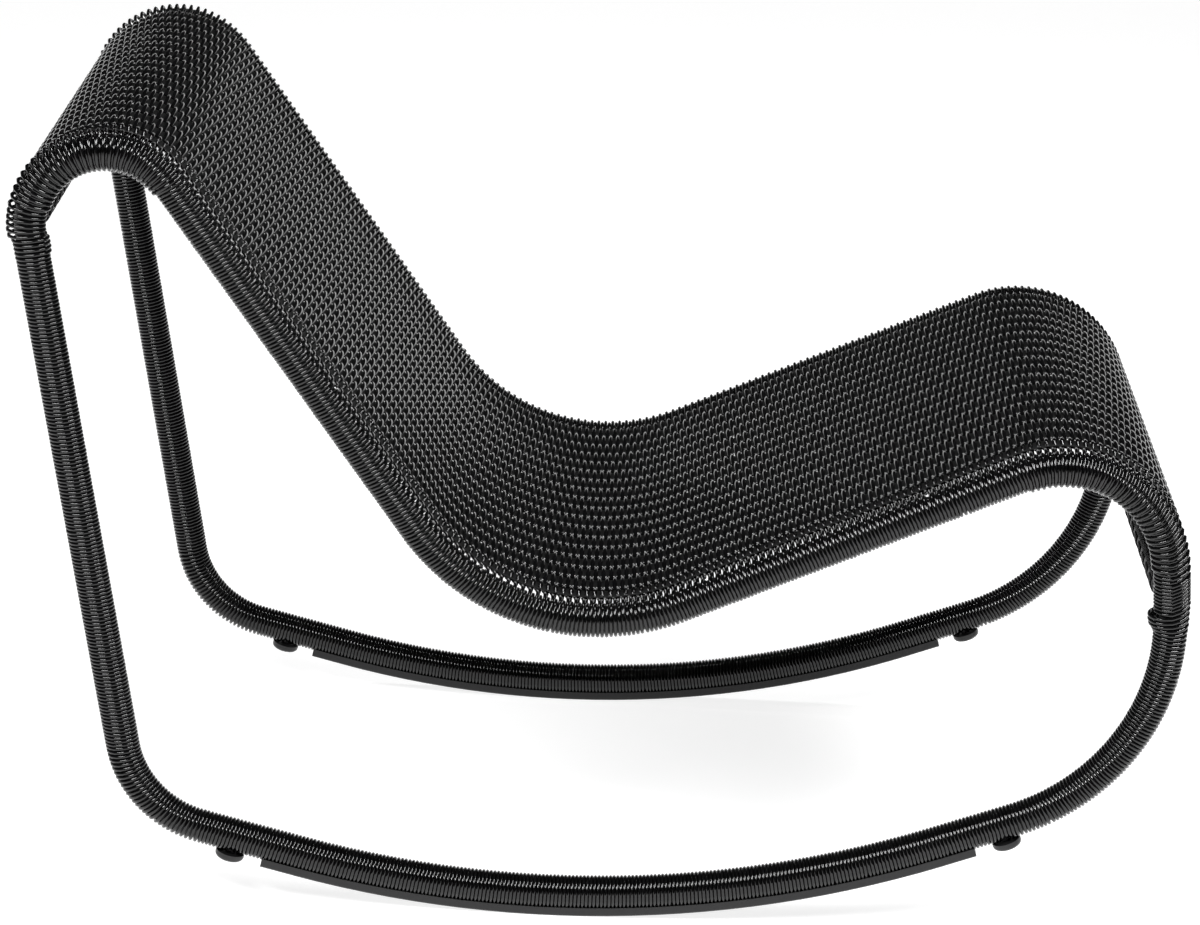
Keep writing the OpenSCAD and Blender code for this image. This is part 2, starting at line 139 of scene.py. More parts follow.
# Notches, where turns stand a little apart: the length over which the push dies down and how far from the
# lashings they stay, in mm, and how many there are along the seat and along each side's windings
NOTCH_REACH = 8.0
NOTCH_CLEAR = 40.0
WEAVE_NOTCHES = 10
WINDING_NOTCHES = 12
# Seeds of the random draws
WEAVE_SEED = 7
WINDING_SEED = 11
# How far from the rocker's middle the stop feet's stems are, their radius, and how far from one the turns
# are pushed aside, in mm
FOOT_REACH = 360.0
STEM_R = 4.5
STEM_PARTS = 13.0
# The camera, from a fit of the photograph's perspective: its place in mm before the chair leans back, and
# its directions ahead and to the right, as long as the fit gave them
CAMERA_PLACE = (57.1, -3677.0, 1513.4)
CAMERA_AHEAD = (-17.7, 951.7, -306.5)
CAMERA_RIGHT = (999.8, 18.6, 0.0)
# The studio, in metres: each lamp's setting, size and place, where they aim, and the sweep's reach, cove and
# wall
LAMPS = (
    ("key", (2.8, 0.5), (2.4, -1.4, 2.9)),
    ("fill", (2.8, 0.5), (-1.7, -2.4, 3.0)),
    ("top", (0.6, 0.3), (0.1, 0.5, 3.0)),
)
LAMPS_AIM = (0.0, 0.0, 0.35)
SWEEP_REACH = 30.0
COVE_R = 1.0
WALL_Y = 5.2
LEFT, RIGHT = 1, -1


def linear(code):
    """An sRGB hex colour as linear red, green and blue."""
    parts = [int(code[i : i + 2], 16) / 255 for i in (1, 3, 5)]
    return tuple(c / 12.92 if c <= 0.04045 else ((c + 0.055) / 1.055) ** 2.4 for c in parts)


def smooth(t):
    """Eases from 0 to 1."""
    t = np.clip(t, 0.0, 1.0)
    return t * t * (3 - 2 * t)


def between(s, start, rise, end, fall):
    """1 from start to end, eased in over rise and out over fall."""
    return smooth((s - start) / rise) * smooth((end - s) / fall)


class SideLoop:
    """A side loop's centre line in mm, measured from the start of the head bend."""

    def __init__(self):
        corners = np.array(CORNERS, float)
        flat, radius = corners[:, :2], corners[:, 2]
        ahead = np.roll(flat, -1, 0) - flat
        heading = np.arctan2(ahead[:, 1], ahead[:, 0])
        turn = heading - np.roll(heading, 1)
        turn = (turn + math.pi) % (2 * math.pi) - math.pi
        cut = radius * np.tan(np.abs(turn) / 2)
        unit = np.stack([np.cos(heading), np.sin(heading)], 1)
        into = flat - np.roll(unit, 1, 0) * cut[:, None]
        out_of = flat + unit * cut[:, None]
        # Corner i's bend is row 2 * i, and the straight after it the next row
        rows = []
        for i in range(len(CORNERS)):
            signed = math.copysign(radius[i], turn[i])
            rows.append((*into[i], heading[i - 1], radius[i] * abs(turn[i]), signed))
            straight = np.linalg.norm(into[(i + 1) % len(CORNERS)] - out_of[i])
            rows.append((*out_of[i], heading[i], straight, math.inf))
        self.rows = np.array(rows)
        self.starts = np.concatenate([[0.0], np.cumsum(self.rows[:, 3])])
        self.length = self.starts[-1]
        before = heading[KEEL - 1]
        to_centre = np.array([-math.sin(before), math.cos(before)])
        self.centre = into[KEEL] + to_centre * math.copysign(radius[KEEL], turn[KEEL])
        self.front_bar = self.starts[2 * FRONT_BEND] - FRONT_BAR_BEFORE
        self.keel_mid = (self.starts[2 * KEEL] + self.starts[2 * KEEL + 1]) / 2
        self.middle = 0.0
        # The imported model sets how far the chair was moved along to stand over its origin
        s = np.arange(self.starts[2 * FRONT_BEND], self.starts[-2], 0.5)
        reach = self.place(s, TUBE_R, 0.0)[..., 0].max()
        self.middle = (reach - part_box("left_lower_tube")[1].x) / MM

    def at(self, s):
        """Points, headings and signed bend radii at places along the loop."""
        s = np.mod(np.asarray(s, float), self.length)
        i = np.clip(np.searchsorted(self.starts, s, side="right") - 1, 0, len(self.rows) - 1)
        x, z, heading, _, radius = np.moveaxis(self.rows[i], -1, 0)
        t = s - self.starts[i]
        bent = np.isfinite(radius)
        r = np.where(bent, radius, 1.0)
        end = heading + np.where(bent, t / r, 0.0)
        dx = np.where(bent, r * (np.sin(end) - np.sin(heading)), t * np.cos(heading))
        dz = np.where(bent, r * (np.cos(heading) - np.cos(end)), t * np.sin(heading))
        return x + dx, z + dz, end, radius

    def stretch(self, s, h):
        """How much longer a line at height h is than the centre line."""
        return 1 - h / self.at(s)[3]

    def place(self, s, h, y):
        """Points in the frame, in metres: s along the loop, h outward from the tube, y across."""
        x, z, heading, _ = self.at(s)
        return self.lean(x - h * np.sin(heading), y, z + h * np.cos(heading))

    def lean(self, x, y, z):
        """Design points in mm, moved to where the chair stands, in metres."""
        dx, dz = x - self.centre[0], z - self.centre[1]
        c, n = math.cos(REST_LEAN), math.sin(REST_LEAN)
        stood = [c * dx - n * dz - self.middle, np.broadcast_to(y, np.shape(dx)), n * dx + c * dz + FLOOR_R]
        return np.stack(stood, -1) * MM


LOOP = SideLoop()


# Meshes


def cord_mesh(name, runs, radius, sides):
    """A mesh of round cords. Each run is its centre line, a direction away from what it lies on, and,
    where the cord is pressed flat, its height and width as shares of the round cord's."""
    verts, loops, starts = [], [], []
    base, at = 0, 0
    turn = np.arange(sides) * 2 * math.pi / sides
    for line, away, *pressed in runs:
        t = np.gradient(line, axis=0)
        t /= np.linalg.norm(t, axis=1, keepdims=True)
        n = away - (away * t).sum(1, keepdims=True) * t
        n /= np.linalg.norm(n, axis=1, keepdims=True)
        b = np.cross(t, n)
        high, wide = pressed if pressed else (np.ones(len(line)), np.ones(len(line)))
        ring = np.cos(turn)[:, None] * (high[:, None] * n)[:, None]
        ring = ring + np.sin(turn)[:, None] * (wide[:, None] * b)[:, None]
        verts.append((line[:, None] + radius * MM * ring).reshape(-1, 3))
        i = np.arange(len(line) - 1)[:, None] * sides + base
        k = np.arange(sides)[None]
        after = (k + 1) % sides
        quads = np.stack([i + k, i + after, i + sides + after, i + sides + k], -1).reshape(-1, 4)
        ends = [base + np.arange(sides)[::-1], base + (len(line) - 1) * sides + np.arange(sides)]
        loops += [quads.ravel(), *ends]
        starts.append(at + np.arange(len(quads)) * 4)
        at += quads.size
        starts.append(at + np.arange(2) * sides)
        at += 2 * sides
        base += len(line) * sides
    verts, loops, starts = np.concatenate(verts), np.concatenate(loops), np.concatenate(starts)
    mesh = bpy.data.meshes.new(name)
    mesh.vertices.add(len(verts))
    mesh.vertices.foreach_set("co", verts.astype(np.float32).ravel())
    mesh.loops.add(len(loops))
    mesh.loops.foreach_set("vertex_index", loops.astype(np.int32))
    mesh.polygons.add(len(starts))
    mesh.polygons.foreach_set("loop_start", starts.astype(np.int32))
    mesh.polygons.foreach_set("use_smooth", np.ones(len(starts), bool))
    mesh.update(calc_edges=True)
    if mesh.validate():
        raise RuntimeError(f"{name} has broken faces")
    return mesh


def cord_piece(name, runs, radius, sides, material, nodes):
    """One object of cords that rides on the chair and stands for CAD nodes."""
    piece = bpy.data.objects.new(name, cord_mesh(name, runs, radius, sides))
    bpy.context.scene.collection.objects.link(piece)
    piece.data.materials.append(material)
    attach(piece, "root")
    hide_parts(*nodes)


def side_run(s, h, y_out, side):
    """A run wound round a side tube: h outward and y_out away from the chair's middle, in mm."""
    y = side * (SIDE_Y + y_out)
    line = LOOP.place(s, h, y)
    away = line - LOOP.place(s, 0.0, side * SIDE_Y)
    return line, away


# Woven seat


def surface_steps(pitch):
    """Places along the loop at equal steps of the weave's own surface, from bar to bar."""
    step = 0.25
    s = np.arange(REAR_BAR, LOOP.front_bar, step)
    length = np.concatenate([[0.0], np.cumsum(LOOP.stretch(s[:-1], WEAVE_H) * step)])
    count = int((length[-1] - BARE_END) / pitch)
    first = (length[-1] - (count - 1) * pitch) / 2
    return np.interp(first + np.arange(count + 1) * pitch, length, s)


def bar_lift(s, wave):
    """How far the weave rises to pass over the two wound crossbars."""
    clear = WRAP_R + CORD_R
    lift = np.zeros_like(s)
    for bar in (REAR_BAR, LOOP.front_bar):
        x = np.abs(s - bar)
        over = np.sqrt(np.clip(clear**2 - x**2, 0, None)) + wave - COIL_R
        lift = np.maximum(lift, np.where(x < clear, over, 0.0))
    return lift


def notches(rng, count, low, high):
    """Places where the turns under a tube stand a little apart."""
    return np.sort(rng.uniform(low, high, count))


def part_turns(s, places, by):
    """How far the turns are pushed along at s by the notches."""
    push = np.zeros_like(s)
    for place in places:
        d = s - place
        push += by * np.sign(d) * np.exp(-np.abs(d) / NOTCH_REACH)
    return push


def crossing(c, p, n, stray, proud, weave):
    """The cords from the crown of one tube to the last stake: places along, across and up, and how flat
    the cord is pressed there."""
    step = LOOP_SPACING / (weave.stakes + 1)
    v = np.linspace(0, step * weave.stakes, weave.samples * weave.stakes + 1)[None, :]
    near = smooth(v / step)
    s = slanted(c + AHEAD * p * (1 - near), 1 - near) + stray * np.sin(v / SWAY_RADIAN + n)
    edge = near * smooth((LOOP_SPACING - v) / step)
    # The arches over the stakes are a little flat on top
    swing = np.cos(np.pi * v / step)
    swing = swing + (np.tanh(swing) / math.tanh(1.0) - swing) * near
    h = COIL_R + bar_lift(s, weave.wave) * edge + (proud + (weave.wave - proud) * near) * swing
    # Pressed flat over and under the stakes, and rounder where the cords pass each other between them
    pressed = near * (FLAT_BETWEEN + (1 - FLAT_BETWEEN) * np.cos(np.pi * v / step) ** 2)
    return s, v, h, pressed


def dive(c, p, s0, h0, weave):
    """The cords from the last stake, at s0 and h0, down to the underside of the other tube."""
    v0, v1 = LOOP_SPACING * weave.stakes / (weave.stakes + 1), LOOP_SPACING + COIL_R * math.sin(MEETS)
    h1 = COIL_R * math.cos(MEETS)
    # A cubic curve, pulled this far in mm along the directions at its two ends
    pull_0, pull_1 = 17, 30
    q = np.linspace(0, 1, 9)[None, 1:-1]
    a, b = 2 * q**3 - 3 * q**2 + 1, 3 * q**2 - 2 * q**3
    m0, m1 = q**3 - 2 * q**2 + q, q**3 - q**2
    v = a * v0 + b * v1 + m0 * pull_0 + m1 * pull_1 * -math.cos(MEETS)
    h = a * h0 + b * h1 + m1 * pull_1 * math.sin(MEETS)
    return s0 + (c - AHEAD * p - s0) * smooth(q), v, h, 1 - smooth(q)


def rounding(c, p, stray, proud, leaves, notch):
    """The cords from the underside round the tube and up to its crown, where they stand proud of it."""
    turn = np.linspace(MEETS, -2 * math.pi, 28)[None, :-1]
    s = c + p * (0.5 + (HALFWAY - turn) / (2 * math.pi))
    # Inside a bend the turns are squeezed, and the second round piles up on the first
    local = p * (1 - COIL_R * np.cos(turn) / LOOP.at(s)[3])
    pile = np.sqrt(np.clip(CORD_D**2 - local**2, 0, None)) * smooth(SECOND_ROUND - turn)
    rise = proud * smooth((leaves - turn) / (leaves + 2 * math.pi))
    under = smooth(-np.cos(turn))
    r = COIL_R + np.maximum(pile, rise) + np.abs(stray) * STRAY_LIFT * under
    s = slanted(s, np.cos(turn)) + part_turns(s, notch, 0.5) * under
    return s, LOOP_SPACING + r * np.sin(turn), r * np.cos(turn), 0.0


def woven_run(c, first, weave, wobble, notch):
    """One unbroken cord: across over and under the stakes, round a side tube, and back."""
    n = first + np.arange(len(c) - 1)[:, None]
    stray = wobble[n]
    c, p = c[:-1, None], np.diff(c)[:, None]
    # The cords stand further off the tube round the head and at the front end
    head = smooth((LOOP.starts[1] - c) / HEAD_FADE)
    front = smooth((c - LOOP.front_bar + FRONT_SLACK) / FRONT_FADE)
    proud = weave.proud + (weave.head_proud - weave.proud) * head
    proud = proud + (weave.front_proud - weave.proud) * front
    leaves = LEAVES + LEAVES_SOONER * (head + front)
    across = crossing(c, p, n, stray, proud, weave)
    down = dive(c, p, across[0][:, -1:], across[2][:, -1:], weave)
    around = rounding(c, p, stray, proud, leaves, notch)
    legs = [np.broadcast_arrays(*leg) for leg in (across, down, around)]
    s, v, h, pressed = [np.concatenate(parts, 1) for parts in zip(*legs)]
    way = np.where(n % 2 == 0, 1, -1)
    y = way * (v - SIDE_Y)
    # Away from the stakes on the way across, and from the tube on the way round
    on_stakes = v < LOOP_SPACING * weave.stakes / (weave.stakes + 1)
    line = LOOP.place(s, h, y)
    away = line - LOOP.place(s, np.where(on_stakes, h - 10, 0.0), np.where(on_stakes, y, way * SIDE_Y))
    high = 1 + (weave.cord_high - 1) * pressed.ravel()
    wide = 1 + (weave.cord_wide - 1) * pressed.ravel()
    return line.reshape(-1, 3), away.reshape(-1, 3), high, wide


def stake_run(y, weave):
    """A flat lengthwise strip of the weave, hooked round both crossbars."""
    hook_r = WRAP_R + weave.stake_t / 2
    turn = np.radians(np.arange(HOOK_TURN, 0, -HOOK_STEP))
    inside = np.arange(REAR_BAR + STAKE_CLEAR, LOOP.front_bar - STAKE_CLEAR + 2, STAKE_STEP)
    ends = np.array(STAKE_ENDS)
    s = np.concatenate([REAR_BAR + ends, inside, LOOP.front_bar - ends[::-1]])
    lift = bar_lift(s, 0.0)
    lift[[0, -1]] = hook_r - COIL_R
    flat = LOOP.place(s, COIL_R + lift, y)
    off = flat - LOOP.place(s, 0.0, y)
    hooks, hook_off = [], []
    for bar, sign in ((REAR_BAR, -1), (LOOP.front_bar, 1)):
        x, z, heading, _ = LOOP.at(bar)
        along = sign * hook_r * np.sin(turn)
        out = hook_r * np.cos(turn)
        px = x + along * np.cos(heading) - out * np.sin(heading)
        pz = z + along * np.sin(heading) + out * np.cos(heading)
        hooks.append(LOOP.lean(px, y, pz))
        hook_off.append(hooks[-1] - LOOP.lean(np.full_like(px, x), y, np.full_like(px, z)))
    line = np.concatenate([hooks[0], flat, hooks[1][::-1]])
    away = np.concatenate([hook_off[0], off, hook_off[1][::-1]])
    return line, away, np.ones(len(line)), np.full(len(line), weave.stake_w / weave.stake_t)


# Windings


def lash_places():
    """Where the rear and the front lashing start and end along the loop."""
    clear = WRAP_R + GAP + CORD_R + GAP
    length = LASH_TURNS * LASH_PITCH
    rear, front = REAR_BAR - clear - length, LOOP.front_bar + clear
    return {"rear": (rear, rear + length), "front": (front, front + length)}


def raised(s, h, weave):
    """How far turns stand off the tube near the seat's ends: on the outside the seat's slack cords lift
    them, less and less through the lashing, and on the inside it covers tucked cord ends."""
    # Past the rear leg's middle, places are counted back from the head
    s = np.where(s > (LOOP.length + LOOP.keel_mid) / 2, s - LOOP.length, s)
    (rear_a, rear_b), (front_a, front_b) = lash_places().values()
    slack_end = front_b + 6
    outside = np.clip((slack_end - s) / (slack_end - front_a), 0, 1) * weave.front_proud
    outside = np.where(s < front_a / 2, smooth((s - rear_b + 4) / 8) * weave.head_proud, outside)
    tucked = LASH_BULGE * between(s, front_a, 3, front_b + 1, 12)
    tucked = tucked + REAR_BULGE * between(s, rear_a, 6, rear_b, 3)
    return np.where(h > 0, outside * smooth(h / COIL_R), tucked * smooth(-h / COIL_R))


def slanted(s, share):
    """Places along the loop, moved towards the seat where the seat's last cords draw the turns aslant."""
    front_a, front_b = lash_places()["front"]
    end = front_b + SLANT_FADE
    rising = np.clip((s - LOOP.front_bar + SLANT_RAMP) / SLANT_RAMP, 0, 1)
    falling = np.clip((end - s) / (end - front_a), 0, 1)
    return s - SLANT * rising * falling * np.arcsin(np.clip(share, 0, 1)) * 2 / math.pi


def tube_winding(start, end, part_turn, side, settings, weave, notch):
    """Turns laid close along a bare tube, parting round the stop feet's stems. It starts on the underside
    and ends part_turn further round."""
    step = 0.5
    s = np.arange(start, end, step)
    radius = np.abs(LOOP.at(s)[3])
    # In a bend the turns are spread, so that they still clear each other on its inside
    pitch = np.maximum(settings.pitch, (CORD_D + 0.05) / (1 - WRAP_R / radius))
    turns = np.concatenate([[0.0], np.cumsum(step / pitch[:-1])])
    count = round(turns[-1] - part_turn) + part_turn
    turns *= count / turns[-1]
    turn = np.arange(0, count + 0.5 / settings.segments, 1 / settings.segments)
    # Each turn lies a little off its place
    uneven = np.random.default_rng(int(start)).normal(0, 1, (2, int(count) + 3))
    shift, lift = [np.interp(turn, np.arange(len(row)), row) for row in uneven]
    s = np.interp(turn, turns, s)
    angle = turn * 2 * math.pi + math.pi
    r = COIL_R + raised(s, COIL_R * np.cos(angle), weave) + UNEVEN * np.abs(lift)
    y, h = -r * np.sin(angle), r * np.cos(angle)
    s = slanted(s, h / COIL_R) + 0.7 * UNEVEN * shift
    stem = STEM_R + CORD_R
    for sign in (-1, 1):
        d = s - (LOOP.keel_mid + sign * FOOT_REACH)
        pushed = np.sign(d) * (stem + np.abs(d) * (1 - stem / STEM_PARTS))
        near = (np.abs(d) < STEM_PARTS) * smooth(1.6 * h / COIL_R) * smooth((stem * 1.5 - np.abs(y)) / stem)
        s = s + (pushed - d) * near
    s = s + part_turns(s, notch, 0.6) * smooth(h / COIL_R)
    return side_run(s, h, y, side)


def bar_winding(bar, settings):
    """Turns laid close along a crossbar."""
    half = SIDE_Y - WRAP_R - CORD_R
    count = int(2 * half / settings.pitch)
    angle = np.arange(0, count, 1 / settings.segments) * 2 * math.pi
    y = angle / (2 * math.pi) * settings.pitch - count * settings.pitch / 2
    x, z, _, _ = LOOP.at(bar)
    line = LOOP.lean(x + COIL_R * np.cos(angle), y, z + COIL_R * np.sin(angle))
    away = line - LOOP.lean(np.full_like(y, x), y, np.full_like(y, z))
    return line, away


def lashing_run(start, side, weave):
    """A few firm turns that hold the seat's last cords."""
    turn = np.linspace(0, LASH_TURNS, LASH_TURNS * 32 + 1)
    s = start + turn * LASH_PITCH
    angle = 2 * math.pi * turn + math.pi
    r = COIL_R + GAP + raised(s, COIL_R * np.cos(angle), weave)
    h = r * np.cos(angle)
    return side_run(slanted(s, h / COIL_R), h, -r * np.sin(angle), side)


def tucked_ends(start, side):
    """The cut cord ends that lie along the inside of the tube under a lashing."""
    s = np.arange(start - 1.0, start + 13.0, 1.0)
    runs = []
    # Two lie on the tube, this far to each side in radians, and one starts on top of them, this far up in mm,
    # and comes down
    for off, lift in ((-0.27, 0.0), (0.27, 0.0), (0.0, 2.6)):
        r = COIL_R + lift * smooth((start + 9.0 - s) / 8)
        runs.append(side_run(s, -r * math.cos(off), r * math.sin(off), side))
    return runs


# Materials


def add_node(tree, kind, inputs=None, **settings):
    """Adds a node. inputs gives each socket a value, or an output socket that it is linked from."""
    made = tree.nodes.new(kind)
    for name, value in settings.items():
        setattr(made, name, value)
    for name, value in (inputs or {}).items():
        if isinstance(value, bpy.types.NodeSocket):
            tree.links.new(value, made.inputs[name])
        else:
            made.inputs[name].default_value = value
    return made


def new_material(name):
    """An empty node material, its tree and its output node."""
    material = bpy.data.materials.new(name)
    material.use_nodes = True
    material.node_tree.nodes.clear()
    tree = material.node_tree
    return material, tree, add_node(tree, "ShaderNodeOutputMaterial")


def mottled(tree, where, size_mm, low, high, spread=0.25, detail=3.0):
    """A noise of patches size_mm wide that moves between two colours."""
    noise = add_node(tree, "ShaderNodeTexNoise", {"Vector": where, "Scale": 1000 / size_mm, "Detail": detail})
    ramp = add_node(tree, "ShaderNodeValToRGB", {"Fac": noise.outputs["Fac"]})
    ramp.color_ramp.elements[0].position = 0.5 - spread
    ramp.color_ramp.elements[0].color = (*low, 1)
    ramp.color_ramp.elements[1].position = 0.5 + spread
    ramp.color_ramp.elements[1].color = (*high, 1)
    return ramp.outputs["Color"]


def extruded_cord(name, finish):
    """Polyethylene cord, extruded round: a glossy near-black skin, seen by the gleam on every bend of it."""
    material, tree, output = new_material(name)
    where = add_node(tree, "ShaderNodeTexCoord").outputs["Object"]
    colour = mottled(tree, where, 9.0, tuple(finish.cord_dark), tuple(finish.cord_light))
    # Scuffed and wiped patches about 30 mm wide, where hands and clothes rub
    wear = add_node(tree, "ShaderNodeTexNoise", {"Vector": where, "Scale": 1000 / 30, "Detail": 4.0})
    rough = add_node(
        tree,
        "ShaderNodeMapRange",
        {
            "Value": wear.outputs["Fac"],
            "From Min": 0.3,
            "From Max": 0.7,
            "To Min": finish.cord_rough_low,
            "To Max": finish.cord_rough_high,
        },
    )
    # The die's drag marks, drawn 1.2 mm apart so that they show
    grain = add_node(tree, "ShaderNodeTexNoise", {"Vector": where, "Scale": 1000 / 1.2, "Detail": 2.0})
    bump = add_node(
        tree,
        "ShaderNodeBump",
        {"Height": grain.outputs["Fac"], "Strength": 0.08, "Distance": 0.05 * MM},
    )
    shader = add_node(
        tree,
        "ShaderNodeBsdfPrincipled",
        {
            "Base Color": colour,
            "Roughness": rough.outputs["Result"],
            "IOR": 1.52,
            "Normal": bump.outputs["Normal"],
        },
    )
    tree.links.new(shader.outputs["BSDF"], output.inputs["Surface"])
    return material


def slit_strip(name, finish):
    """Polyethylene strip, slit from sheet: matt and streaky, so that the weave's recesses stay black."""
    material, tree, output = new_material(name)
    where = add_node(tree, "ShaderNodeTexCoord").outputs["Object"]
    colour = mottled(tree, where, 5.0, linear("#080808"), tuple(finish.strip))
    streak = add_node(tree, "ShaderNodeTexNoise", {"Vector": where, "Scale": 1000 / 2.0, "Detail": 3.0})
    rough = add_node(
        tree,
        "ShaderNodeMapRange",
        {"Value": streak.outputs["Fac"], "To Min": 0.55, "To Max": 0.8},
    )
    shader = add_node(
        tree,
        "ShaderNodeBsdfPrincipled",
        {"Base Color": colour, "Roughness": rough.outputs["Result"], "IOR": 1.5, "Specular IOR Level": 0.2},
    )
    tree.links.new(shader.outputs["BSDF"], output.inputs["Surface"])
    return material


def powder_coated_steel(name, finish):
    """Steel tube under baked powder: an even dark skin with a fine orange peel."""
    material, tree, output = new_material(name)
    where = add_node(tree, "ShaderNodeTexCoord").outputs["Object"]
    colour = mottled(tree, where, 20.0, linear("#121213"), tuple(finish.frame))
    peel = add_node(tree, "ShaderNodeTexNoise", {"Vector": where, "Scale": 1000 / 0.9, "Detail": 1.0})
    bump = add_node(
        tree,
        "ShaderNodeBump",
        {"Height": peel.outputs["Fac"], "Strength": 0.3, "Distance": 0.05 * MM},
    )
    shader = add_node(
        tree,
        "ShaderNodeBsdfPrincipled",
        {"Base Color": colour, "Roughness": 0.42, "IOR": 1.5, "Normal": bump.outputs["Normal"]},
    )
    tree.links.new(shader.outputs["BSDF"], output.inputs["Surface"])
    return material


def vulcanised_rubber(name, finish, rough):
    """Pressed rubber: matt and slightly dusty, with fine grit in its skin and paler rubbed patches."""
    material, tree, output = new_material(name)
    where = add_node(tree, "ShaderNodeTexCoord").outputs["Object"]
    colour = mottled(tree, where, 14.0, tuple(finish.rubber), tuple(finish.rubbed), 0.35, 5.0)
    grit = add_node(tree, "ShaderNodeTexNoise", {"Vector": where, "Scale": 1000 / 0.8, "Detail": 4.0})
    bump = add_node(
        tree,
        "ShaderNodeBump",
        {"Height": grit.outputs["Fac"], "Strength": 0.4, "Distance": 0.08 * MM},
    )
    shader = add_node(
        tree,
        "ShaderNodeBsdfPrincipled",
        {"Base Color": colour, "Roughness": rough, "IOR": 1.52, "Normal": bump.outputs["Normal"]},
    )
    tree.links.new(shader.outputs["BSDF"], output.inputs["Surface"])
    return material


def bare_steel(name, finish, rough, line_mm):
    """Plain drawn or plated steel: a grey metal with faint lines round it."""
    material, tree, output = new_material(name)
    where = add_node(tree, "ShaderNodeTexCoord").outputs["Object"]
    colour = mottled(tree, where, 4.0, linear("#8f9094"), tuple(finish.steel))
    lines = add_node(tree, "ShaderNodeTexNoise", {"Vector": where, "Scale": 1000 / line_mm, "Detail": 3.0})
    worn = add_node(
        tree,
        "ShaderNodeMapRange",
        {"Value": lines.outputs["Fac"], "To Min": rough - 0.1, "To Max": rough + 0.1},
    )
    shader = add_node(
        tree,
        "ShaderNodeBsdfPrincipled",
        {"Base Color": colour, "Metallic": 1.0, "Roughness": worn.outputs["Result"]},
    )
    tree.links.new(shader.outputs["BSDF"], output.inputs["Surface"])
    return material


def finish_nodes(material, *nodes):
    """Gives CAD nodes a finish."""
    for node in nodes:
        data = frame["nodes"][node].data
        data.materials.clear()
        data.materials.append(material)


# Studio


def painted_sweep(name, stage):
    """Matt pale studio sweep. To the eye and in gloss it is the photograph's white, less its shadows."""
    material, tree, output = new_material(name)
    diffuse = add_node(tree, "ShaderNodeBsdfDiffuse", {"Color": (*tuple(stage.floor_colour), 1)})
    glow = add_node(tree, "ShaderNodeEmission", {"Color": (1, 1, 1, 1), "Strength": stage.floor_glow})
    path = add_node(tree, "ShaderNodeLightPath")
    seen = path.outputs["Is Camera Ray"]
    for ray in ("Is Glossy Ray", "Is Transmission Ray"):
        either = add_node(tree, "ShaderNodeMath", {0: seen, 1: path.outputs[ray]}, operation="MAXIMUM")
        seen = either.outputs[0]
    both = add_node(tree, "ShaderNodeAddShader", {0: diffuse.outputs[0], 1: glow.outputs[0]})
    mix = add_node(
        tree,
        "ShaderNodeMixShader",
        {"Fac": seen, 1: diffuse.outputs[0], 2: both.outputs[0]},
    )
    tree.links.new(mix.outputs[0], output.inputs["Surface"])
    return material


def softbox(name, power, size, place):
    """A rectangular lamp that faces the chair."""
    light = bpy.data.lights.new(name, "AREA")
    light.shape = "RECTANGLE"
    light.size, light.size_y = size
    light.energy = power
    lamp = bpy.data.objects.new(name, light)
    bpy.context.scene.collection.objects.link(lamp)
    lamp.location = place
    towards = Vector(LAMPS_AIM) - Vector(place)
    lamp.rotation_mode = "QUATERNION"
    lamp.rotation_quaternion = towards.to_track_quat("-Z", "Y")


# Settings


class WeaveSettings(bpy.types.PropertyGroup):
    """Sizes of the woven seat, in mm."""

    pitch: bpy.props.FloatProperty(
        name="Cord spacing",
        description="Step from one cross cord to the next",
        default=3.55,
        min=3.3,
        max=5.0,
    )
    wave: bpy.props.FloatProperty(
        name="Wave",
        description="Height of a cord's wave over the stakes",
        default=2.4,
        min=1.0,
        max=4.0,
    )
    proud: bpy.props.FloatProperty(
        name="Crown slack",
        description="How far a cord stands off the tube where it leaves for the seat",
        default=2.2,
        min=0.0,
        max=3.0,
    )
    head_proud: bpy.props.FloatProperty(
        name="Head slack",
        description="How far a cord stands off the tube round the head",
        default=4.5,
        min=0.0,
        max=6.0,
    )
    front_proud: bpy.props.FloatProperty(
        name="Front slack",
        description="How far a cord stands off the tube at the front end",
        default=2.7,
        min=0.0,
        max=6.0,
    )
    stakes: bpy.props.IntProperty(
        name="Stakes", description="Number of lengthwise strips", default=18, min=6, max=30
    )
    stake_w: bpy.props.FloatProperty(
        name="Stake width", description="Width of a lengthwise strip", default=18.5, min=2.0, max=24.0
    )
    stake_t: bpy.props.FloatProperty(
        name="Stake thickness", description="Thickness of a lengthwise strip", default=0.8, min=0.4, max=2.0
    )
    cord_wide: bpy.props.FloatProperty(
        name="Pressed width", description="Width of a cord in the weave over its round width", default=1.33
    )
    cord_high: bpy.props.FloatProperty(
        name="Pressed height", description="Height of a cord in the weave over its round height", default=0.95
    )
    wobble: bpy.props.FloatProperty(
        name="Wobble", description="How far cords stray from their places", default=0.12, min=0.0, max=0.5
    )
    samples: bpy.props.IntProperty(
        name="Rings a wave", description="Rings of mesh from stake to stake", default=8, min=4, max=16
    )
    cords_a_piece: bpy.props.IntProperty(
        name="Cords a piece", description="Crossings in each mesh piece", default=60, min=10, max=64
    )


class WindingSettings(bpy.types.PropertyGroup):
    """Sizes of the cord wound on the bare tubes and bars, in mm."""

    pitch: bpy.props.FloatProperty(
        name="Turn spacing", description="Step from turn to turn", default=3.5, min=3.3, max=5.0
    )
    segments: bpy.props.IntProperty(
        name="Segments a turn", description="Rings of mesh in one turn", default=16, min=10, max=32
    )
    sides: bpy.props.IntProperty(
        name="Cord sides", description="Faces round a cord", default=8, min=6, max=12
    )


